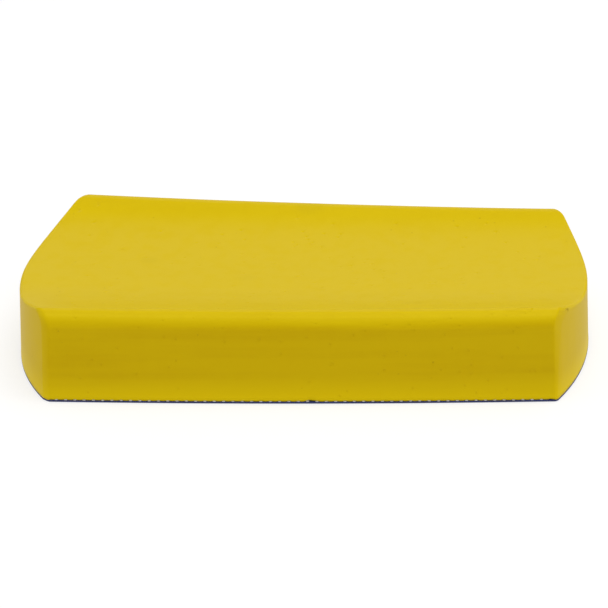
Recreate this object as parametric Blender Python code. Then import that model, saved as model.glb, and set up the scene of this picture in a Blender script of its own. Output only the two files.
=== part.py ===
"""Block grout float: a moulded foam grip on a thin hook-and-loop facing.

Units are metres, +Z is up, and the float lies on its facing at Z = 0. +X runs along the length,
and the long edge at -Y is the front. The origin is at the middle of the underside.
"""

import math

import bmesh
import bpy
import numpy as np

# Plan of the block: a straight front edge, a slightly skewed back edge and two bowed ends.
FRONT_LEFT_LENGTH = 0.1100
FRONT_RIGHT_LENGTH = 0.1084
BACK_LEFT_LENGTH = 0.1018
BACK_RIGHT_LENGTH = 0.1138
MID_DEPTH = 0.1187
BACK_SKEW = 0.040
LEFT_END_BULGE = 0.0197
RIGHT_END_BULGE = 0.0134

# Section across the block, from the front wall over the dished top to the back wall.
CREASE_HEIGHT = 0.0416
ROLL_RADIUS = 0.0078
ROLL_ANGLE = math.radians(60.0)
ROLL_FLAT = 0.0020
BACK_HEIGHT = 0.0395
BACK_ROUND = 0.0040
VALLEY_HEIGHT = 0.0307
VALLEY_PLACE = 0.415
FRONT_TOP_SLOPE = -0.38
BACK_TOP_SLOPE = 0.55

# How the soft moulding strays from a straight extrusion.
BACK_RIM_TWIST = 0.0022
END_RISE = 0.0010
FRONT_BELLY = 0.0019
END_DRAFT = 0.0013

# Rounding where the walls and the top meet the ends.
LEFT_CORNER_ALONG = 0.0026
LEFT_CORNER_BEHIND = 0.0038
RIGHT_CORNER_ALONG = 0.0016
RIGHT_CORNER_BEHIND = 0.0015
RIGHT_CORNER_GROWTH = 0.0095
BACK_CORNER_ROUND = 0.0050
END_RIM_ROUND = 0.0016
FRONT_TURN = 0.0240
BACK_TURN = 0.0080
RIM_FOOT = 0.0310
ROUND_START = math.radians(20.0)
ROUND_END = math.radians(75.0)

# Layers under the foam, with the gap that separates neighbouring pieces.
PIECE_GAP = 0.0003
FACING_THICKNESS = 0.0010
SCRIM_THICKNESS = 0.0004
POCKET_SCALE = 0.950
SCRIM_SCALE = 0.944

# Mesh steps.
WALL_STEPS = 4
ROLL_STEPS = 5
VALLEY_STEPS = 12
LENGTH_STEPS = 12
ROUND_STEPS = 3
ARC_SAMPLES = 200

FOAM_BOTTOM = FACING_THICKNESS + PIECE_GAP
POCKET_DEPTH = SCRIM_THICKNESS + PIECE_GAP
SMOOTH_ANGLE = math.radians(28.0)

FOAM_YELLOW = (0.700, 0.500, 0.006)
FOAM_ROUGHNESS = 0.50
SCRIM_WHITE = (0.620, 0.600, 0.520)
SCRIM_ROUGHNESS = 0.90
FACING_NAVY = (0.023, 0.038, 0.140)
FACING_ROUGHNESS = 0.85


def clear_scene():
    for item in list(bpy.data.objects):
        bpy.data.objects.remove(item, do_unlink=True)


def make_material(name, colour, roughness):
    material = bpy.data.materials.new(name)
    material.use_nodes = True
    shader = material.node_tree.nodes["Principled BSDF"]
    shader.inputs["Base Color"].default_value = (*colour, 1.0)
    shader.inputs["Roughness"].default_value = roughness
    shader.inputs["Metallic"].default_value = 0.0
    return material


def ease(value, start, end, start_slope, end_slope):
    """A cubic from start to end as value runs from 0 to 1, with the given slopes at its ends."""
    square = value * value
    cube = square * value
    return (
        (2 * cube - 3 * square + 1) * start
        + (cube - 2 * square + value) * start_slope
        + (3 * square - 2 * cube) * end
        + (cube - square) * end_slope
    )


def end_curve(front, back, bulge):
    """A bowed end in plan: the arc from its front corner to its back corner."""
    front = np.array(front)
    back = np.array(back)
    chord = back - front
    half = np.linalg.norm(chord) / 2
    radius = (half * half + bulge * bulge) / (2 * bulge)
    along = chord / (2 * half)
    outward = np.array((along[1], -along[0])) * math.copysign(1.0, front[0])
    centre = (front + back) / 2 + outward * (bulge - radius)
    sweep = math.asin(half / radius)
    angles = np.linspace(-sweep, sweep, ARC_SAMPLES)[:, None]
    return centre + radius * (np.cos(angles) * outward + np.sin(angles) * along)


def plan_ends():
    """The left and right end arcs, moved so that the block's plan is centred on the origin."""
    front = -MID_DEPTH / 2
    left_back = MID_DEPTH / 2 + BACK_SKEW * BACK_LEFT_LENGTH
    right_back = MID_DEPTH / 2 - BACK_SKEW * BACK_RIGHT_LENGTH
    left = end_curve((-FRONT_LEFT_LENGTH, front), (-BACK_LEFT_LENGTH, left_back), LEFT_END_BULGE)
    right = end_curve((FRONT_RIGHT_LENGTH, front), (BACK_RIGHT_LENGTH, right_back), RIGHT_END_BULGE)
    middle = ((left[:, 0].min() + right[:, 0].max()) / 2, (front - FRONT_BELLY + left_back) / 2)
    return left - middle, right - middle


def cross_section(depth):
    """Points (distance behind the front wall, height) over the block, front foot to back foot."""
    crease = ROLL_RADIUS * (1 - math.cos(ROLL_ANGLE)) + ROLL_FLAT * math.sin(ROLL_ANGLE)
    roll_foot = CREASE_HEIGHT - ROLL_RADIUS * math.sin(ROLL_ANGLE) - ROLL_FLAT * math.cos(ROLL_ANGLE)
    climb = math.atan(BACK_TOP_SLOPE)
    back_centre = depth - BACK_ROUND
    back_foot = BACK_HEIGHT - BACK_ROUND
    back_top = back_centre - BACK_ROUND * math.sin(climb)
    back_height = back_foot + BACK_ROUND * math.cos(climb)
    valley = VALLEY_PLACE * depth
    fall = valley - crease
    rise = back_top - valley
    points = []
    for t in np.linspace(0, 1, WALL_STEPS, endpoint=False):
        points.append((0.0, FOAM_BOTTOM + (roll_foot - FOAM_BOTTOM) * t))
    for angle in np.linspace(0, ROLL_ANGLE, ROLL_STEPS):
        points.append((ROLL_RADIUS * (1 - math.cos(angle)), roll_foot + ROLL_RADIUS * math.sin(angle)))
    for t in np.linspace(0, 1, VALLEY_STEPS, endpoint=False):
        height = ease(t, CREASE_HEIGHT, VALLEY_HEIGHT, FRONT_TOP_SLOPE * fall, 0.0)
        points.append((crease + fall * t, height))
    for t in np.linspace(0, 1, VALLEY_STEPS, endpoint=False):
        height = ease(t, VALLEY_HEIGHT, back_height, 0.0, BACK_TOP_SLOPE * rise)
        points.append((valley + rise * t, height))
    for angle in np.linspace(-climb, math.pi / 2, ROLL_STEPS, endpoint=False):
        points.append((back_centre + BACK_ROUND * math.sin(angle), back_foot + BACK_ROUND * math.cos(angle)))
    for t in np.linspace(0, 1, WALL_STEPS + 1):
        points.append((depth, back_foot + (FOAM_BOTTOM - back_foot) * t))
    return np.array(points)


def settle(value):
    """An S-shaped step from 0 to 1 as value runs from 0 to 1."""
    value = np.clip(value, 0, 1)
    return value * value * (3 - 2 * value)


def end_rounding(points, side):
    """How far the end's rim is drawn in at each section point: along the block, and back and down."""
    near_front = 1 - settle(points[:, 0] / FRONT_TURN)
    near_back = 1 - settle((points[-1, 0] - points[:, 0]) / BACK_TURN)
    along = LEFT_CORNER_ALONG
    behind = LEFT_CORNER_BEHIND
    if side > 0:
        along = RIGHT_CORNER_ALONG
        behind = RIGHT_CORNER_BEHIND + RIGHT_CORNER_GROWTH * (points[:, 1] / CREASE_HEIGHT) ** 2
    spare = (BACK_CORNER_ROUND - END_RIM_ROUND) * near_back
    along = END_RIM_ROUND + (along - END_RIM_ROUND) * near_front + spare
    behind = END_RIM_ROUND + (behind - END_RIM_ROUND) * near_front + spare
    tilt = math.pi / 2 * (near_front - near_back)
    back = behind * np.sin(tilt)
    slope = np.where(back > 0, -FRONT_TOP_SLOPE, BACK_TOP_SLOPE)
    rim = settle((points[:, 1] - RIM_FOOT) / (CREASE_HEIGHT - RIM_FOOT))
    return along, back, behind * np.cos(tilt) + slope * np.abs(back) * rim


def end_rings(curve, side):
    """Rings of points round one end, from the rim of its face to the full section."""
    front_y = curve[0, 1]
    points = cross_section(curve[-1, 1] - front_y)
    along, back, down = end_rounding(points, side)
    rings = []
    for angle in np.linspace(ROUND_START, ROUND_END, ROUND_STEPS + 1):
        inset = math.sin(ROUND_END) - math.sin(angle)
        y = front_y + points[:, 0] + back * inset
        z = points[:, 1] - down * inset
        x = np.interp(y, curve[:, 1], curve[:, 0]) - side * along * (math.cos(ROUND_START) - math.cos(angle))
        rings.append(np.column_stack((x, y, z)))
    return rings


def block_rings():
    """Every ring of the block, from the left end to the right end."""
    left_curve, right_curve = plan_ends()
    left = end_rings(left_curve, -1.0)
    right = end_rings(right_curve, 1.0)
    between = []
    for t in np.linspace(0, 1, LENGTH_STEPS + 1)[1:-1]:
        between.append(left[-1] + (right[-1] - left[-1]) * t)
    return left + between + right[::-1]


def soften(points):
    """Bends the straight block the way the soft moulding is bent, and keeps its foot level."""
    x, y, z = np.array(points).T
    front_y = plan_ends()[0][0, 1]
    behind = (y - front_y) / MID_DEPTH
    height = (z - FOAM_BOTTOM) / (CREASE_HEIGHT - FOAM_BOTTOM)
    length = x / FRONT_LEFT_LENGTH
    belly = FRONT_BELLY * (1 - np.minimum(length * length, 1.0))
    bent_x = x - END_DRAFT * length * height
    bent_y = y - belly * (1 - height) * np.clip(1 - behind, 0, 1)
    bent_z = z + height * (END_RISE * length * length - BACK_RIM_TWIST * length * behind)
    return np.column_stack((bent_x, bent_y, bent_z))


def cap_columns(ring):
    """Points of one end face in columns, each from the foot up to the ring."""
    columns = []
    for top in ring[WALL_STEPS : len(ring) - WALL_STEPS]:
        foot = np.array((top[0], top[1], FOAM_BOTTOM))
        steps = np.linspace(0, 1, WALL_STEPS + 1)[:, None]
        columns.append(soften(foot + (top - foot) * steps))
    return columns


def join_cap(mesh, ring_verts, ring):
    """Closes one end of the block and returns the end face's foot, front to back."""
    columns = cap_columns(ring)
    grid = [ring_verts[: WALL_STEPS + 1]]
    for index, column in enumerate(columns[1:-1], start=1):
        verts = [mesh.verts.new(point) for point in column[:-1]]
        grid.append(verts + [ring_verts[WALL_STEPS + index]])
    grid.append(ring_verts[: -WALL_STEPS - 2 : -1])
    for near, far in zip(grid, grid[1:]):
        for step in range(WALL_STEPS):
            mesh.faces.new((near[step], far[step], far[step + 1], near[step + 1]))
    return [column[0] for column in grid]


def build_block(mesh):
    """Fills the mesh with the closed block and returns its bottom face."""
    rings = block_rings()
    rows = []
    for ring in rings:
        rows.append([mesh.verts.new(point) for point in soften(ring)])
    for near, far in zip(rows, rows[1:]):
        for step in range(len(near) - 1):
            mesh.faces.new((near[step], near[step + 1], far[step + 1], far[step]))
    left_foot = join_cap(mesh, rows[0], rings[0])
    right_foot = join_cap(mesh, rows[-1], rings[-1])
    front_foot = [row[0] for row in rows]
    back_foot = [row[-1] for row in rows]
    outline = front_foot[:-1] + right_foot[:-1] + back_foot[:0:-1] + left_foot[:0:-1]
    return mesh.faces.new(outline)


def add_object(name, mesh, material):
    data = bpy.data.meshes.new(name)
    mesh.to_mesh(data)
    mesh.free()
    data.shade_smooth()
    data.set_sharp_from_angle(angle=SMOOTH_ANGLE)
    data.materials.append(material)
    part = bpy.data.objects.new(name, data)
    bpy.context.scene.collection.objects.link(part)
    return part


def cut_pocket(mesh, bottom):
    """Sinks a shallow pocket for the scrim into the underside, drawn in from the outline."""
    rim = list(bottom.verts)
    mouth = [mesh.verts.new((v.co.x * POCKET_SCALE, v.co.y * POCKET_SCALE, v.co.z)) for v in rim]
    ceiling = [mesh.verts.new((v.co.x, v.co.y, v.co.z + POCKET_DEPTH)) for v in mouth]
    bmesh.ops.delete(mesh, geom=[bottom], context="FACES_ONLY")
    for index in range(len(rim)):
        mesh.faces.new((rim[index - 1], rim[index], mouth[index], mouth[index - 1]))
        mesh.faces.new((mouth[index - 1], mouth[index], ceiling[index], ceiling[index - 1]))
    mesh.faces.new(ceiling)


def make_foam_block():
    mesh = bmesh.new()
    bottom = build_block(mesh)
    cut_pocket(mesh, bottom)
    bmesh.ops.recalc_face_normals(mesh, faces=mesh.faces)
    return add_object("foam_block", mesh, make_material("foam", FOAM_YELLOW, FOAM_ROUGHNESS))


def block_outline(scale):
    """The block's foot in plan, drawn in towards the middle by scale."""
    mesh = bmesh.new()
    foot = build_block(mesh)
    outline = [(vert.co.x * scale, vert.co.y * scale) for vert in foot.verts]
    mesh.free()
    return outline


def make_sheet(name, scale, bottom_z, thickness, material):
    """A flat sheet with the block's outline, drawn in by scale."""
    mesh = bmesh.new()
    outline = block_outline(scale)
    lower = [mesh.verts.new((x, y, bottom_z)) for x, y in outline]
    upper = [mesh.verts.new((x, y, bottom_z + thickness)) for x, y in outline]
    mesh.faces.new(lower[::-1])
    mesh.faces.new(upper)
    for index, vert in enumerate(lower):
        mesh.faces.new((lower[index - 1], vert, upper[index], upper[index - 1]))
    return add_object(name, mesh, material)


def make_backing_scrim():
    material = make_material("scrim", SCRIM_WHITE, SCRIM_ROUGHNESS)
    return make_sheet("backing_scrim", SCRIM_SCALE, FOAM_BOTTOM, SCRIM_THICKNESS, material)


def make_hook_facing():
    material = make_material("facing", FACING_NAVY, FACING_ROUGHNESS)
    return make_sheet("hook_facing", 1.0, 0.0, FACING_THICKNESS, material)


clear_scene()
make_foam_block()
make_backing_scrim()
make_hook_facing()
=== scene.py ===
"""Looks of the block grout float: a moulded foam grip, a scrim and a navy hook facing.

Units are metres, +Z is up, and the float lies on its facing at Z = 0, with its front at -Y. The block's
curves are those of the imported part, sampled finely enough to carry the skin's small marks.
"""

import math

import bmesh
import bpy
import numpy as np
from mathutils import Matrix, Vector, noise


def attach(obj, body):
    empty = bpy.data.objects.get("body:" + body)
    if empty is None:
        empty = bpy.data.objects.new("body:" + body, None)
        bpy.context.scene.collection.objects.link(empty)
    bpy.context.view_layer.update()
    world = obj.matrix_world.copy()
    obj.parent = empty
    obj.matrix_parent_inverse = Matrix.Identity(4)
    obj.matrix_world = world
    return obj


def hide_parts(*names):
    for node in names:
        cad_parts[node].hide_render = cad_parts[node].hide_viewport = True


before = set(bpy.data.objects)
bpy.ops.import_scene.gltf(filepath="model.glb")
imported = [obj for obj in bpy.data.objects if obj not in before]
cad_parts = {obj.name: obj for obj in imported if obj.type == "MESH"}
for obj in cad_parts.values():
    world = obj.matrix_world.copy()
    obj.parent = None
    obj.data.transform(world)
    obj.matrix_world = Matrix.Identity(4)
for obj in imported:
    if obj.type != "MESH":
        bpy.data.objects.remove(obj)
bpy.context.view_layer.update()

# The camera: where it looks, from which side, and how far off it stands.
CAMERA_TARGET = (-0.00045, 0.00574, 0.01321)
CAMERA_ELEVATION = math.radians(27.0)
CAMERA_YAW = math.radians(-2.0)
CAMERA_ROLL = math.radians(1.0)
CAMERA_DISTANCE = 1.4195
CAMERA_LENS = 189.75
CAMERA_REACH = 100.0
SENSOR_WIDTH = 36.0

# Plan of the block.
FRONT_LEFT_LENGTH = 0.1100
FRONT_RIGHT_LENGTH = 0.1084
BACK_LEFT_LENGTH = 0.1018
BACK_RIGHT_LENGTH = 0.1138
MID_DEPTH = 0.1187
BACK_SKEW = 0.040
LEFT_END_BULGE = 0.0197
RIGHT_END_BULGE = 0.0134

# Section across the block.
CREASE_HEIGHT = 0.0416
ROLL_RADIUS = 0.0078
ROLL_ANGLE = math.radians(60.0)
ROLL_FLAT = 0.0020
BACK_HEIGHT = 0.0395
BACK_ROUND = 0.0040
VALLEY_HEIGHT = 0.0307
VALLEY_PLACE = 0.415
FRONT_TOP_SLOPE = -0.38
BACK_TOP_SLOPE = 0.55

# How the soft moulding strays from a straight extrusion.
BACK_RIM_TWIST = 0.0022
END_RISE = 0.0010
FRONT_BELLY = 0.0019
END_DRAFT = 0.0013
LEFT_CORNER_ALONG = 0.0026
LEFT_CORNER_BEHIND = 0.0038
RIGHT_CORNER_ALONG = 0.0016
RIGHT_CORNER_BEHIND = 0.0015
RIGHT_CORNER_GROWTH = 0.0095
BACK_CORNER_ROUND = 0.0050
END_RIM_ROUND = 0.0016
FRONT_TURN = 0.0240
BACK_TURN = 0.0080
RIM_FOOT = 0.0310
ROUND_START = math.radians(20.0)
ROUND_END = math.radians(75.0)

# Heights of the layers.
LEVEL_FOOT = 0.0013
FACING_TOP = 0.0010
FOAM_FOOT = 0.00108
FOAM_CEILING = 0.00155
BOTTOM_SCALE = 0.985
FOOT_TUCK = 0.0003
FOOT_ARCH = 0.00032

# Mesh steps of the block.
WALL_STEPS = 30
ROLL_STEPS = 14
FALL_STEPS = 44
RISE_STEPS = 60
BACK_STEPS = 8
LENGTH_STEPS = 216
ROUND_STEPS = 8
ARC_SAMPLES = 400

# Spacing of the scrim's yarns along X, and how far the middle one is off the origin.
YARN_PITCH = 0.00398
YARN_SHIFT = -0.00125

RNG = np.random.default_rng(7)


def ease(value, start, end, start_slope, end_slope):
    """A cubic from start to end as value runs from 0 to 1, with the given slopes at its ends."""
    square = value * value
    cube = square * value
    return (
        (2 * cube - 3 * square + 1) * start
        + (cube - 2 * square + value) * start_slope
        + (3 * square - 2 * cube) * end
        + (cube - square) * end_slope
    )


def end_curve(front, back, bulge):
    """A bowed end in plan: the arc from its front corner to its back corner."""
    front = np.array(front)
    back = np.array(back)
    chord = back - front
    half = np.linalg.norm(chord) / 2
    radius = (half * half + bulge * bulge) / (2 * bulge)
    along = chord / (2 * half)
    outward = np.array((along[1], -along[0])) * math.copysign(1.0, front[0])
    centre = (front + back) / 2 + outward * (bulge - radius)
    sweep = math.asin(half / radius)
    angles = np.linspace(-sweep, sweep, ARC_SAMPLES)[:, None]
    return centre + radius * (np.cos(angles) * outward + np.sin(angles) * along)


def plan_ends():
    """The left and right end arcs, moved so that the block's plan is centred on the origin."""
    front = -MID_DEPTH / 2
    left_back = MID_DEPTH / 2 + BACK_SKEW * BACK_LEFT_LENGTH
    right_back = MID_DEPTH / 2 - BACK_SKEW * BACK_RIGHT_LENGTH
    left = end_curve((-FRONT_LEFT_LENGTH, front), (-BACK_LEFT_LENGTH, left_back), LEFT_END_BULGE)
    right = end_curve((FRONT_RIGHT_LENGTH, front), (BACK_RIGHT_LENGTH, right_back), RIGHT_END_BULGE)
    middle = ((left[:, 0].min() + right[:, 0].max()) / 2, (front - FRONT_BELLY + left_back) / 2)
    return left - middle, right - middle


LEFT_CURVE, RIGHT_CURVE = plan_ends()
FRONT_Y = LEFT_CURVE[0, 1]


def cross_section(depth):
    """Points (distance behind the front wall, height) over the block, front foot to back foot."""
    crease = ROLL_RADIUS * (1 - math.cos(ROLL_ANGLE)) + ROLL_FLAT * math.sin(ROLL_ANGLE)
    roll_foot = CREASE_HEIGHT - ROLL_RADIUS * math.sin(ROLL_ANGLE) - ROLL_FLAT * math.cos(ROLL_ANGLE)
    climb = math.atan(BACK_TOP_SLOPE)
    back_centre = depth - BACK_ROUND
    back_foot = BACK_HEIGHT - BACK_ROUND
    back_top = back_centre - BACK_ROUND * math.sin(climb)
    back_height = back_foot + BACK_ROUND * math.cos(climb)
    valley = VALLEY_PLACE * depth
    fall = valley - crease
    rise = back_top - valley
    points = []
    for t in np.linspace(0, 1, WALL_STEPS, endpoint=False):
        points.append((0.0, FOAM_FOOT + (roll_foot - FOAM_FOOT) * t))
    for angle in np.linspace(0, ROLL_ANGLE, ROLL_STEPS):
        points.append((ROLL_RADIUS * (1 - math.cos(angle)), roll_foot + ROLL_RADIUS * math.sin(angle)))
    for t in np.linspace(0, 1, FALL_STEPS, endpoint=False):
        height = ease(t, CREASE_HEIGHT, VALLEY_HEIGHT, FRONT_TOP_SLOPE * fall, 0.0)
        points.append((crease + fall * t, height))
    for t in np.linspace(0, 1, RISE_STEPS, endpoint=False):
        height = ease(t, VALLEY_HEIGHT, back_height, 0.0, BACK_TOP_SLOPE * rise)
        points.append((valley + rise * t, height))
    for angle in np.linspace(-climb, math.pi / 2, BACK_STEPS, endpoint=False):
        points.append((back_centre + BACK_ROUND * math.sin(angle), back_foot + BACK_ROUND * math.cos(angle)))
    for t in np.linspace(0, 1, WALL_STEPS + 1):
        points.append((depth, back_foot + (FOAM_FOOT - back_foot) * t))
    return np.array(points)


def settle(value):
    """An S-shaped step from 0 to 1 as value runs from 0 to 1."""
    value = np.clip(value, 0, 1)
    return value * value * (3 - 2 * value)


def end_rounding(points, side):
    """How far the end's rim is drawn in at each section point: along the block, and back and down."""
    near_front = 1 - settle(points[:, 0] / FRONT_TURN)
    near_back = 1 - settle((points[-1, 0] - points[:, 0]) / BACK_TURN)
    along = LEFT_CORNER_ALONG
    behind = LEFT_CORNER_BEHIND
    if side > 0:
        along = RIGHT_CORNER_ALONG
        behind = RIGHT_CORNER_BEHIND + RIGHT_CORNER_GROWTH * (points[:, 1] / CREASE_HEIGHT) ** 2
    spare = (BACK_CORNER_ROUND - END_RIM_ROUND) * near_back
    along = END_RIM_ROUND + (along - END_RIM_ROUND) * near_front + spare
    behind = END_RIM_ROUND + (behind - END_RIM_ROUND) * near_front + spare
    tilt = math.pi / 2 * (near_front - near_back)
    back = behind * np.sin(tilt)
    slope = np.where(back > 0, -FRONT_TOP_SLOPE, BACK_TOP_SLOPE)
    rim = settle((points[:, 1] - RIM_FOOT) / (CREASE_HEIGHT - RIM_FOOT))
    return along, back, behind * np.cos(tilt) + slope * np.abs(back) * rim


def end_rings(curve, side):
    """Rings of points round one end, from the rim of its face to the full section."""
    points = cross_section(curve[-1, 1] - FRONT_Y)
    along, back, down = end_rounding(points, side)
    rings = []
    for angle in np.linspace(ROUND_START, ROUND_END, ROUND_STEPS + 1):
        inset = math.sin(ROUND_END) - math.sin(angle)
        y = FRONT_Y + points[:, 0] + back * inset
        z = points[:, 1] - down * inset
        x = np.interp(y, curve[:, 1], curve[:, 0]) - side * along * (math.cos(ROUND_START) - math.cos(angle))
        rings.append(np.column_stack((x, y, z)))
    return rings


def block_rings():
    """Every ring of the block, from the left end to the right end."""
    left = end_rings(LEFT_CURVE, -1.0)
    right = end_rings(RIGHT_CURVE, 1.0)
    between = []
    for t in np.linspace(0, 1, LENGTH_STEPS + 1)[1:-1]:
        between.append(left[-1] + (right[-1] - left[-1]) * t)
    return left + between + right[::-1]


def soften(points):
    """Bends the straight block the way the soft moulding is bent, and keeps its foot level."""
    x, y, z = np.array(points).T
    behind = (y - FRONT_Y) / MID_DEPTH
    height = np.maximum(z - LEVEL_FOOT, 0) / (CREASE_HEIGHT - LEVEL_FOOT)
    length = x / FRONT_LEFT_LENGTH
    belly = FRONT_BELLY * (1 - np.minimum(length * length, 1.0))
    bent_x = x - END_DRAFT * length * height
    bent_y = y - belly * (1 - height) * np.clip(1 - behind, 0, 1)
    bent_z = z + height * (END_RISE * length * length - BACK_RIM_TWIST * length * behind)
    return np.column_stack((bent_x, bent_y, bent_z))


def cap_columns(ring):
    """Points of one end face in columns, each from the foot up to the ring."""
    columns = []
    for top in ring[WALL_STEPS : len(ring) - WALL_STEPS]:
        foot = np.array((top[0], top[1], FOAM_FOOT))
        steps = np.linspace(0, 1, WALL_STEPS + 1)[:, None]
        columns.append(soften(foot + (top - foot) * steps))
    return columns


def join_cap(mesh, ring_verts, ring):
    """Closes one end of the block and returns the end face's foot, front to back."""
    columns = cap_columns(ring)
    grid = [ring_verts[: WALL_STEPS + 1]]
    for index, column in enumerate(columns[1:-1], start=1):
        verts = [mesh.verts.new(point) for point in column[:-1]]
        grid.append(verts + [ring_verts[WALL_STEPS + index]])
    grid.append(ring_verts[: -WALL_STEPS - 2 : -1])
    for near, far in zip(grid, grid[1:]):
        for step in range(WALL_STEPS):
            mesh.faces.new((near[step], far[step], far[step + 1], near[step + 1]))
    return [column[0] for column in grid]


def build_block(mesh):
    """Fills the mesh with the closed block; returns its bottom face and its rows of vertices."""
    rings = block_rings()
    rows = []
    for ring in rings:
        rows.append([mesh.verts.new(point) for point in soften(ring)])
    for near, far in zip(rows, rows[1:]):
        for step in range(len(near) - 1):
            mesh.faces.new((near[step], near[step + 1], far[step + 1], far[step]))
    left_foot = join_cap(mesh, rows[0], rings[0])
    right_foot = join_cap(mesh, rows[-1], rings[-1])
    front_foot = [row[0] for row in rows]
    back_foot = [row[-1] for row in rows]
    outline = front_foot[:-1] + right_foot[:-1] + back_foot[:0:-1] + left_foot[:0:-1]
    return mesh.faces.new(outline), rows


def add_piece(name, mesh, material):
    """Turns the mesh into a piece that rides on the float, in the given material."""
    data = bpy.data.meshes.new(name)
    mesh.to_mesh(data)
    mesh.free()
    data.shade_smooth()
    data.materials.append(material)
    piece = bpy.data.objects.new(name, data)
    bpy.context.scene.collection.objects.link(piece)
    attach(piece, "root")
    return piece


# ---------------------------------------------------------------- materials

class Nodes:
    """Short calls for a material's nodes."""

    def __init__(self, name, roughness):
        self.material = bpy.data.materials.new(name)
        self.material.use_nodes = True
        self.tree = self.material.node_tree
        self.shader = self.tree.nodes["Principled BSDF"]
        self.shader.inputs["Roughness"].default_value = roughness
        self.where = self.add("ShaderNodeTexCoord").outputs["Object"]

    def add(self, kind, inputs=None, **settings):
        made = self.tree.nodes.new(kind)
        for key, value in settings.items():
            setattr(made, key, value)
        for key, value in (inputs or {}).items():
            self.feed(made.inputs[key], value)
        return made

    def feed(self, socket, value):
        if isinstance(value, bpy.types.NodeSocket):
            self.tree.links.new(value, socket)
        elif isinstance(value, tuple) and len(value) == 3 and socket.type == "RGBA":
            socket.default_value = (*value, 1.0)
        else:
            socket.default_value = value

    def noise(self, scale, detail=2.0, stretch=(1, 1, 1), offset=(0, 0, 0)):
        spot = self.add("ShaderNodeMapping", {"Vector": self.where, "Scale": stretch, "Location": offset})
        made = self.add("ShaderNodeTexNoise", {"Vector": spot.outputs[0], "Scale": scale, "Detail": detail})
        return made.outputs["Fac"]

    def ramp(self, value, low, high, bottom=0.0, top=1.0):
        names = {"Value": value, "From Min": low, "From Max": high, "To Min": bottom, "To Max": top}
        made = self.add("ShaderNodeMapRange", names, interpolation_type="SMOOTHSTEP")
        return made.outputs[0]

    def math(self, operation, first, second=0.0):
        made = self.add("ShaderNodeMath", {0: first, 1: second}, operation=operation)
        return made.outputs[0]

    def mix(self, factor, first, second):
        made = self.add("ShaderNodeMix", data_type="RGBA")
        self.feed(made.inputs["Factor"], factor)
        self.feed(made.inputs[6], first)
        self.feed(made.inputs[7], second)
        return made.outputs[2]

    def bump(self, height, distance, strength=1.0, before=None):
        made = self.add("ShaderNodeBump", {"Height": height, "Distance": distance, "Strength": strength})
        if before is not None:
            self.feed(made.inputs["Normal"], before)
        return made.outputs[0]

    def finish(self, colour, normal):
        self.feed(self.shader.inputs["Base Color"], colour)
        self.feed(self.shader.inputs["Normal"], normal)
        return self.material


# The foam's tones: its own yellow, its random mottling, and painted light: a painted sheen where it lies
# level, painted shade on its walls, streaks of painted shade on its front and back walls, and painted bounce
# light near its foot.
FOAM_YELLOW = (0.606, 0.442, 0.0020)
FOAM_PALE = (0.620, 0.460, 0.0030)
FOAM_DEEP = (0.590, 0.422, 0.0018)
# Painted sheen: the foam is tinted paler and bluer where it lies level.
FOAM_LEVEL_SHEEN = (0.602, 0.444, 0.0235)
# Painted shade: the foam is tinted darker on its upright walls.
FOAM_WALL_SHADE = (0.570, 0.388, 0.0012)
# Streaks of painted shade: a random streak pattern, darker, only on the front and back walls.
FOAM_STREAK_SHADE = (0.525, 0.348, 0.0010)
# Painted bounce light: the foam is tinted lighter towards its foot, up to the height below.
FOAM_FOOT_BOUNCE = (0.690, 0.508, 0.0016)
FOOT_BOUNCE_TOP = 0.0150
SPECK_BROWN = (0.300, 0.190, 0.010)
SMUDGE_OLIVE = (0.500, 0.365, 0.008)

# The foam's gloss, the scales of its patterns (per metre) and how strongly each one shows.
FOAM_ROUGHNESS = 0.40
FOAM_IOR = 1.10
BROAD_SCALE = 16.0
BROAD_SHARE = 0.5
LEVEL_SHEEN_SHARE = 0.8
WALL_SHADE_SHARE = 0.6
STREAK_STRETCH = (9.0, 9.0, 150.0)
STREAK_SHADE_SHARE = 0.5
FINE_SCALE = 170.0
FINE_SHARE = 0.35
SPECK_SCALE = 210.0
SPECK_EDGE = 0.10
SPECK_CORE = 0.05
CLUSTER_SCALE = 60.0
SPECK_SHARE = 0.32

# The foam's bumps, as (height in metres, strength).
SKIN_SCALE = 900.0
SKIN_BUMP = (0.00006, 0.5)
RIPPLE_SCALE = 120.0
RIPPLE_STRETCH = (0.35, 1, 1)
RIPPLE_BUMP = (0.00025, 0.35)
SPECK_BUMP = (0.0002, 0.3)

# Faint handling marks on the top: middle (x, y), half sizes and strength.
SMUDGES = (
    ((-0.0690, 0.0140), (0.0060, 0.0050), 0.20),
    ((-0.0255, -0.0030), (0.0060, 0.0045), 0.15),
    ((0.0480, -0.0350), (0.0080, 0.0050), 0.18),
    ((0.0010, 0.0520), (0.0100, 0.0060), 0.20),
)
SMUDGE_CORE = 0.2


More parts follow.
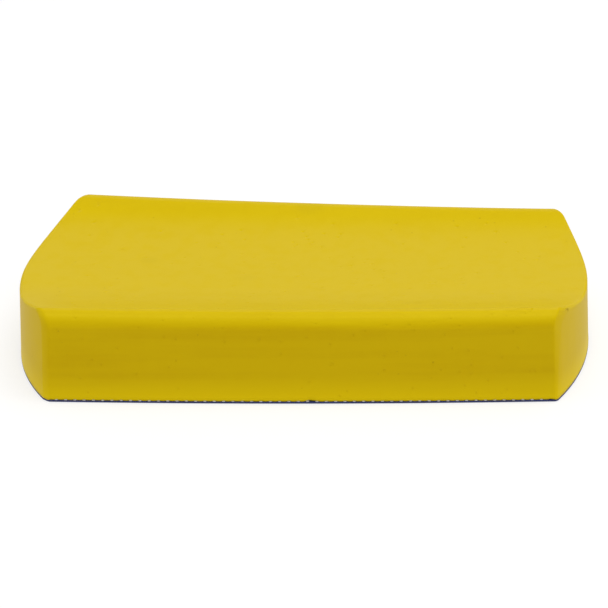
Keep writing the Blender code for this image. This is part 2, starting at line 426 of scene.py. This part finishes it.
def foam_tones(n):
    """Mottled yellow, with a painted sheen where it lies level, painted shade on the walls and streaks of
    painted shade on the front and back walls.
    """
    facing = n.add("ShaderNodeSeparateXYZ", {"Vector": n.add("ShaderNodeTexCoord").outputs["Normal"]})
    level = n.ramp(facing.outputs["Z"], 0.90, 0.99)
    upright_shade = n.ramp(facing.outputs["Z"], 0.45, 0.10)
    long_side = n.ramp(n.math("ABSOLUTE", facing.outputs["Y"]), 0.75, 0.98)
    broad = n.ramp(n.noise(BROAD_SCALE, 3.0), 0.35, 0.65)
    streaks = n.ramp(n.noise(1.0, 3.0, stretch=STREAK_STRETCH), 0.42, 0.68)
    fine = n.ramp(n.noise(FINE_SCALE, 4.0, offset=(0.3, 0.1, 0.2)), 0.42, 0.72)
    colour = n.mix(n.math("MULTIPLY", broad, BROAD_SHARE), FOAM_YELLOW, FOAM_PALE)
    # Painted sheen where the foam lies level.
    colour = n.mix(n.math("MULTIPLY", level, LEVEL_SHEEN_SHARE), colour, FOAM_LEVEL_SHEEN)
    # Painted shade on upright faces.
    colour = n.mix(n.math("MULTIPLY", upright_shade, WALL_SHADE_SHARE), colour, FOAM_WALL_SHADE)
    # Streaks of painted shade, only where a wall faces front or back.
    streaked_shade = n.math("MULTIPLY", long_side, n.math("MULTIPLY", streaks, STREAK_SHADE_SHARE))
    colour = n.mix(streaked_shade, colour, FOAM_STREAK_SHADE)
    return n.mix(n.math("MULTIPLY", fine, FINE_SHARE), colour, FOAM_DEEP)


def add_smudges(n, colour):
    """The colour with the handling marks over it."""
    for centre, half, strength in SMUDGES:
        place = {
            "Vector": n.where,
            "Location": (-centre[0] / half[0], -centre[1] / half[1], 0.0),
            "Scale": (1 / half[0], 1 / half[1], 0.0),
        }
        spot = n.add("ShaderNodeMapping", place)
        reach = n.add("ShaderNodeVectorMath", {0: spot.outputs[0]}, operation="LENGTH")
        mark = n.math("MULTIPLY", n.ramp(reach.outputs["Value"], 1.0, SMUDGE_CORE), strength)
        colour = n.mix(mark, colour, SMUDGE_OLIVE)
    return colour


def foam_specks(n):
    """1 in the middle of each tiny blow-hole, which come in loose clusters."""
    cells = n.add("ShaderNodeTexVoronoi", {"Vector": n.where, "Scale": SPECK_SCALE, "Randomness": 1.0})
    speck = n.ramp(cells.outputs["Distance"], SPECK_EDGE, SPECK_CORE)
    rare = n.ramp(n.noise(CLUSTER_SCALE, 2.0, offset=(2.0, 1.0, 0.0)), 0.50, 0.60)
    return n.math("MULTIPLY", speck, rare)


def foam_material():
    """Satin self-skinned foam: soft mottling, tiny blow-hole specks, a few handling marks and painted bounce
    light near the foot.
    """
    n = Nodes("foam_skin", FOAM_ROUGHNESS)
    n.shader.inputs["IOR"].default_value = FOAM_IOR
    speck = foam_specks(n)
    colour = add_smudges(n, foam_tones(n))
    colour = n.mix(n.math("MULTIPLY", speck, SPECK_SHARE), colour, SPECK_BROWN)
    height = n.add("ShaderNodeSeparateXYZ", {"Vector": n.where}).outputs["Z"]
    # Painted bounce light: lighter towards the foot.
    colour = n.mix(n.ramp(height, FOOT_BOUNCE_TOP, 0.0), colour, FOAM_FOOT_BOUNCE)
    skin = n.bump(n.noise(SKIN_SCALE, 3.0), *SKIN_BUMP)
    ripple = n.bump(n.noise(RIPPLE_SCALE, 2.0, stretch=RIPPLE_STRETCH), *RIPPLE_BUMP, skin)
    pit = n.bump(n.math("MULTIPLY", speck, -1.0), *SPECK_BUMP, ripple)
    return n.finish(colour, pit)


# The scrim's yarns: tones, fibre pattern and bump.
YARN_SHADE = (0.42, 0.41, 0.36)
YARN_LIGHT = (0.68, 0.66, 0.58)
YARN_ROUGHNESS = 0.85
YARN_SHEEN = 0.2
FIBRE_SCALE = 2600.0
FIBRE_STRETCH = (1, 0.2, 1)
FIBRE_BUMP = (0.0001, 0.7)


def scrim_material():
    """Matt spun yarn with its fibres along Y."""
    n = Nodes("scrim_yarn", YARN_ROUGHNESS)
    n.shader.inputs["Sheen Weight"].default_value = YARN_SHEEN
    fibres = n.noise(FIBRE_SCALE, 3.0, stretch=FIBRE_STRETCH)
    colour = n.mix(n.ramp(fibres, 0.35, 0.65), YARN_SHADE, YARN_LIGHT)
    return n.finish(colour, n.bump(fibres, *FIBRE_BUMP))


# The facing's tones, weave and lint.
NAVY_SHADE = (0.009, 0.015, 0.090)
NAVY_LIGHT = (0.020, 0.034, 0.160)
LINT_BLUE = (0.060, 0.085, 0.220)
FACING_ROUGHNESS = 0.75
FACING_SHEEN = 0.08
FACING_SHEEN_ROUGHNESS = 0.5
WEAVE_SCALE = 380.0
WEAVE_DISTORTION = 0.6
WEAVE_BUMP = (0.00015, 0.6)
LINT_SCALE = 700.0
LINT_SHARE = 0.3
LINT_BUMP = (0.0001, 0.4)


def facing_material():
    """Navy weave with a little lint."""
    n = Nodes("facing_weave", FACING_ROUGHNESS)
    n.shader.inputs["Sheen Weight"].default_value = FACING_SHEEN
    n.shader.inputs["Sheen Roughness"].default_value = FACING_SHEEN_ROUGHNESS
    threads = {"Vector": n.where, "Scale": WEAVE_SCALE, "Distortion": WEAVE_DISTORTION}
    across = n.add("ShaderNodeTexWave", threads, bands_direction="X")
    along = n.add("ShaderNodeTexWave", threads, bands_direction="Y")
    weave = n.math("MULTIPLY", across.outputs["Fac"], along.outputs["Fac"])
    lint = n.noise(LINT_SCALE, 3.0)
    colour = n.mix(n.ramp(weave, 0.1, 0.8), NAVY_SHADE, NAVY_LIGHT)
    colour = n.mix(n.math("MULTIPLY", n.ramp(lint, 0.55, 0.75), LINT_SHARE), colour, LINT_BLUE)
    return n.finish(colour, n.bump(weave, *WEAVE_BUMP, n.bump(lint, *LINT_BUMP)))


# ---------------------------------------------------------------- foam block

# Small marks of the moulding, in metres.
CREASE_BEAD = 0.00014
BEAD_STEPS = 3
BEAD_RISE = Vector((0.0, -0.5, 0.87))
BEAD_FINE_SCALE = 260.0
BEAD_BROAD_SCALE = 45.0
SKIN_WAVE = 0.00016
SKIN_GRAIN = 0.00003
SKIN_MARGIN = 0.00003
SKIN_FADE = 0.003
WAVE_SCALE = 22.0
GRAIN_SCALE = 190.0
PIT_COUNT = 240
PIT_LOWEST = 0.003
PIT_SPAN = 0.104
PIT_LEAST_FACE = 5e-7
PIT_INSET = 0.00040
PIT_DEPTH = 0.00022
NICK_AT = Vector((0.0042, FRONT_Y - FRONT_BELLY, 0.0014))
NICK_STRETCH = Vector((0.45, 1.0, 1.0))
NICK_REACH = 0.0013
NICK_DEPTH = 0.0006


def yarn_bump(x):
    """1 over the middle of a yarn, 0 midway between two."""
    return 0.5 + 0.5 * math.cos(2 * math.pi * (x - YARN_SHIFT) / YARN_PITCH)


def mark_crease(rows):
    """Leaves a thin uneven bead along the line where the roll meets the top."""
    line = WALL_STEPS + ROLL_STEPS
    for row in rows:
        for step in range(line - BEAD_STEPS, line + BEAD_STEPS + 1):
            vert = row[step]
            fine = noise.noise(vert.co * BEAD_FINE_SCALE)
            grain = 0.6 + 0.4 * fine + 0.3 * noise.noise(vert.co * BEAD_BROAD_SCALE)
            shift = 1.0 if step != line else 1.0 - min(max(grain, 0.0), 1.0)
            vert.co -= BEAD_RISE * CREASE_BEAD * shift


def shape_foot(rows):
    """Draws the front foot in under the wall, and arches it over each yarn end."""
    for row in rows[ROUND_STEPS : len(rows) - ROUND_STEPS]:
        foot = row[0].co
        foot.y += FOOT_TUCK
        foot.z += FOOT_ARCH * yarn_bump(foot.x) ** 2


def weather(mesh):
    """Lets the skin wave a little, inwards only, and makes the nick in the front foot."""
    mesh.normal_update()
    shifts = []
    for vert in mesh.verts:
        spot = vert.co
        wave = 0.5 + 0.5 * noise.noise(spot * WAVE_SCALE)
        grain = 0.5 + 0.5 * noise.noise(spot * GRAIN_SCALE)
        depth = SKIN_WAVE * wave + SKIN_GRAIN * grain
        near = ((spot - NICK_AT) * NICK_STRETCH).length / NICK_REACH
        if near < 1:
            depth += NICK_DEPTH * (1 - near * near) ** 2
        fade = min(1.0, max(0.0, (spot.z - FOAM_FOOT) / SKIN_FADE))
        shifts.append(-vert.normal * (SKIN_MARGIN + depth * (1.0 if near < 1 else fade)))
    for vert, shift in zip(mesh.verts, shifts):
        vert.co += shift


def pierce(mesh):
    """Sinks small blow-holes into the skin."""
    mesh.faces.ensure_lookup_table()
    faces = []
    for face in mesh.faces:
        middle = face.calc_center_median()
        if len(face.verts) == 4 and middle.z > PIT_LOWEST and abs(middle.x) < PIT_SPAN:
            faces.append(face)
    chosen = [faces[index] for index in RNG.choice(len(faces), PIT_COUNT, replace=False)]
    chosen = [face for face in chosen if face.calc_area() > PIT_LEAST_FACE]
    bmesh.ops.inset_individual(mesh, faces=chosen, thickness=PIT_INSET, depth=-PIT_DEPTH)


def make_foam():
    """The foam block, hollowed a little underneath to make room for the yarns."""
    mesh = bmesh.new()
    bottom, rows = build_block(mesh)
    mark_crease(rows)
    shape_foot(rows)
    bmesh.ops.recalc_face_normals(mesh, faces=mesh.faces)
    weather(mesh)
    mesh.normal_update()
    raised = bmesh.ops.extrude_face_region(mesh, geom=[bottom])
    bmesh.ops.delete(mesh, geom=[bottom], context="FACES_ONLY")
    for vert in raised["geom"]:
        if isinstance(vert, bmesh.types.BMVert):
            vert.co = Vector((vert.co.x * BOTTOM_SCALE, vert.co.y * BOTTOM_SCALE, FOAM_CEILING))
    pierce(mesh)
    bmesh.ops.recalc_face_normals(mesh, faces=mesh.faces)
    piece = add_piece("foam_skin", mesh, foam_material())
    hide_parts("foam_block")


# ---------------------------------------------------------------- facing and scrim

# The yarns: how far their ends stand back, how far they spread, and their section.
YARN_RECESS = 0.00012
YARN_SPAN = 0.1065
YARN_END_MARGIN = 0.0030
YARN_LEVEL = 0.00021
YARN_BACK_REACH = 0.004
YARN_FRONT_REACH = 0.0012
YARN_LIFT = 0.00004
YARN_WIDTH = 0.00135
YARN_THICKNESS = 0.00040
YARN_SIDES = 8

# The hooks: spacing, wire and distance from the facing's edge.
HOOK_PITCH_X = 0.0024
HOOK_PITCH_Y = 0.0020
HOOK_WIRE = 0.00016
HOOK_SIDES = 4
HOOK_MARGIN = 0.0005

# The facing sheet, just inside the CAD model's outline.
SHEET_BOTTOM = 0.00024
SHEET_CHAMFER = 0.00010
SHEET_MARGIN = 0.00003

# A hook's path, as (distance along the block, height): out of the sheet, down and round.
HOOK_PATH = ((0.0, SHEET_BOTTOM + 0.00005), (0.00007, 0.00017), (0.00028, HOOK_WIRE / 2), (0.00056, 0.00014))


def foot_outline():
    """The block's foot in plan, as an array of points."""
    mesh = bmesh.new()
    bottom, _ = build_block(mesh)
    outline = np.array([(vert.co.x, vert.co.y) for vert in bottom.verts])
    mesh.free()
    return outline


def drawn_in(outline, distance):
    """The outline moved inwards by distance."""
    ahead = np.roll(outline, -1, axis=0) - np.roll(outline, 1, axis=0)
    inward = np.column_stack((-ahead[:, 1], ahead[:, 0]))
    inward /= np.linalg.norm(inward, axis=1)[:, None]
    return outline + inward * distance


def inside(outline, x, y):
    """Whether (x, y) lies inside the outline."""
    x1, y1 = outline.T
    x2, y2 = np.roll(outline, -1, axis=0).T
    crosses = (y1 > y) != (y2 > y)
    at = x1[crosses] + (y - y1[crosses]) * (x2[crosses] - x1[crosses]) / (y2[crosses] - y1[crosses])
    return np.count_nonzero(at > x) % 2 == 1


def add_tube(mesh, path, width, height, sides):
    """A closed tube of oval section along the path."""
    rings = []
    for index, point in enumerate(path):
        ahead = path[min(index + 1, len(path) - 1)] - path[max(index - 1, 0)]
        ahead.normalize()
        flat = Vector((0, 0, 1)) if abs(ahead.z) < 0.9 else Vector((0, 1, 0))
        side = ahead.cross(flat).normalized()
        up = side.cross(ahead)
        ring = []
        for step in range(sides):
            angle = 2 * math.pi * step / sides
            offset = side * (math.cos(angle) * width / 2) + up * (math.sin(angle) * height / 2)
            ring.append(mesh.verts.new(point + offset))
        rings.append(ring)
    for near, far in zip(rings, rings[1:]):
        for step in range(sides):
            following = (step + 1) % sides
            mesh.faces.new((near[step], near[following], far[following], far[step]))
    mesh.faces.new(rings[0][::-1])
    mesh.faces.new(rings[-1])


def make_scrim(outline):
    """Flat yarns between the foam and the facing, front to back; their ends show at the front."""
    mesh = bmesh.new()
    inner = drawn_in(outline, YARN_END_MARGIN)
    level = FACING_TOP + YARN_LEVEL
    span = int(YARN_SPAN / YARN_PITCH)
    for index in range(-span, span + 1):
        x = index * YARN_PITCH + YARN_SHIFT
        column = inner[np.abs(inner[:, 0] - x) < YARN_BACK_REACH]
        near_front = outline[(np.abs(outline[:, 0] - x) < YARN_FRONT_REACH) & (outline[:, 1] < 0)]
        start = near_front[:, 1].mean() + YARN_RECESS
        stop = column[:, 1].max()
        path = []
        steps = int((stop - start) / (YARN_PITCH / 2))
        for step in range(steps + 1):
            lift = YARN_LIFT * math.cos(math.pi * step + index)
            path.append(Vector((x, start + (stop - start) * step / steps, level + lift)))
        add_tube(mesh, path, YARN_WIDTH, YARN_THICKNESS, YARN_SIDES)
    piece = add_piece("scrim_yarns", mesh, scrim_material())
    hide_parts("backing_scrim")


def make_facing(outline):
    """A woven sheet under the whole block."""
    mesh = bmesh.new()
    levels = (
        (SHEET_BOTTOM, SHEET_MARGIN + SHEET_CHAMFER),
        (SHEET_BOTTOM + SHEET_CHAMFER, SHEET_MARGIN),
        (FACING_TOP - SHEET_CHAMFER, SHEET_MARGIN),
        (FACING_TOP, SHEET_MARGIN + SHEET_CHAMFER),
    )
    loops = []
    for z, inset in levels:
        loop = drawn_in(outline, inset)
        loops.append([mesh.verts.new((x, y, z)) for x, y in loop])
    for near, far in zip(loops, loops[1:]):
        for index in range(len(near)):
            mesh.faces.new((near[index - 1], near[index], far[index], far[index - 1]))
    mesh.faces.new(loops[0][::-1])
    mesh.faces.new(loops[-1])
    piece = add_piece("facing_sheet", mesh, facing_material())
    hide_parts("hook_facing")
    return piece


def make_hooks(outline, material):
    """The field of small wire hooks under the facing, in staggered rows."""
    mesh = bmesh.new()
    field = drawn_in(outline, HOOK_MARGIN)
    low = field.min(axis=0)
    high = field.max(axis=0)
    rows = int((high[1] - low[1]) / HOOK_PITCH_Y)
    columns = int((high[0] - low[0]) / HOOK_PITCH_X)
    for row in range(rows + 1):
        y = low[1] + row * HOOK_PITCH_Y
        shift = 0.5 * (row % 2)
        for column in range(columns + 1):
            x = low[0] + (column + shift) * HOOK_PITCH_X
            if not inside(field, x, y):
                continue
            lean = 1 if (row + column) % 2 else -1
            path = [Vector((x + lean * along, y, z)) for along, z in HOOK_PATH]
            add_tube(mesh, path, HOOK_WIRE, HOOK_WIRE, HOOK_SIDES)
    add_piece("facing_hooks", mesh, material)


# ---------------------------------------------------------------- stage, lights and camera

# The floor, and the sky's two tones with the direction in which one turns into the other.
FLOOR_RADIUS = 20.0
FLOOR_SEGMENTS = 96
FLOOR_WHITE = (0.32, 0.32, 0.32)
FLOOR_GLOW = 0.66
FLOOR_ROUGHNESS = 0.9
FLOOR_SPECULAR = 0.1
ZENITH = (0.66, 0.66, 0.66, 1.0)
FRONT_HORIZON = (0.24, 0.185, 0.13, 1.0)
SKY_LEAN = (0.0, 0.35, 1.0)
SKY_LOW = -0.35
SKY_HIGH = 0.75

# Area lights: name, place, size and power; each points at the origin.
LAMPS = (
    ("key", (0.30, -0.35, 1.9), 1.6, 24.0),
    ("left fill", (-2.0, -0.25, 0.7), 1.2, 5.0),
    ("right fill", (2.0, -0.25, 0.7), 1.2, 5.0),
)


def make_floor():
    """A white floor that glows a little, so that it stays near white in the block's shade."""
    mesh = bmesh.new()
    bmesh.ops.create_circle(mesh, cap_ends=True, radius=FLOOR_RADIUS, segments=FLOOR_SEGMENTS)
    data = bpy.data.meshes.new("floor")
    mesh.to_mesh(data)
    mesh.free()
    floor = bpy.data.objects.new("floor", data)
    bpy.context.scene.collection.objects.link(floor)
    n = Nodes("floor_white", FLOOR_ROUGHNESS)
    n.shader.inputs["Specular IOR Level"].default_value = FLOOR_SPECULAR
    n.shader.inputs["Base Color"].default_value = (*FLOOR_WHITE, 1.0)
    n.shader.inputs["Emission Color"].default_value = (1.0, 1.0, 1.0, 1.0)
    n.shader.inputs["Emission Strength"].default_value = FLOOR_GLOW
    data.materials.append(n.material)


def add_area(name, place, size, power):
    """A square light at the given place, turned towards the origin."""
    light = bpy.data.lights.new(name, "AREA")
    light.shape = "SQUARE"
    light.size = size
    light.energy = power
    lamp = bpy.data.objects.new(name, light)
    bpy.context.scene.collection.objects.link(lamp)
    lamp.location = place
    lamp.rotation_euler = (-Vector(place)).to_track_quat("-Z", "Y").to_euler()


def make_lights():
    """A pale sky that is dimmer low in front, a soft key overhead and a soft fill at each end."""
    world = bpy.data.worlds.new("studio")
    bpy.context.scene.world = world
    world.use_nodes = True
    tree = world.node_tree
    where = tree.nodes.new("ShaderNodeTexCoord")
    climb = tree.nodes.new("ShaderNodeVectorMath")
    climb.operation = "DOT_PRODUCT"
    climb.inputs[1].default_value = SKY_LEAN
    fade = tree.nodes.new("ShaderNodeMapRange")
    blend = tree.nodes.new("ShaderNodeMix")
    blend.data_type = "RGBA"
    fade.inputs["From Min"].default_value = SKY_LOW
    fade.inputs["From Max"].default_value = SKY_HIGH
    blend.inputs[6].default_value = FRONT_HORIZON
    blend.inputs[7].default_value = ZENITH
    tree.links.new(where.outputs["Generated"], climb.inputs[0])
    tree.links.new(climb.outputs["Value"], fade.inputs["Value"])
    tree.links.new(fade.outputs[0], blend.inputs["Factor"])
    tree.links.new(blend.outputs[2], tree.nodes["Background"].inputs["Color"])
    for lamp in LAMPS:
        add_area(*lamp)


def make_camera():
    """The camera at the photograph's viewing angle."""
    data = bpy.data.cameras.new("camera")
    data.sensor_width = SENSOR_WIDTH
    data.lens = CAMERA_LENS
    data.clip_end = CAMERA_REACH
    camera = bpy.data.objects.new("camera", data)
    bpy.context.scene.collection.objects.link(camera)
    tilt = Matrix.Rotation(math.pi / 2 - CAMERA_ELEVATION, 4, "X")
    turn = Matrix.Rotation(-CAMERA_YAW, 4, "Z")
    roll = Matrix.Rotation(-CAMERA_ROLL, 4, "Z")
    back = Matrix.Translation((0, 0, CAMERA_DISTANCE))
    camera.matrix_world = Matrix.Translation(CAMERA_TARGET) @ turn @ tilt @ roll @ back
    bpy.context.scene.camera = camera


bpy.context.scene.view_settings.view_transform = "Standard"
make_camera()
make_floor()
make_lights()
make_foam()
OUTLINE = foot_outline()
make_scrim(OUTLINE)
sheet = make_facing(OUTLINE)
make_hooks(OUTLINE, sheet.data.materials[0])
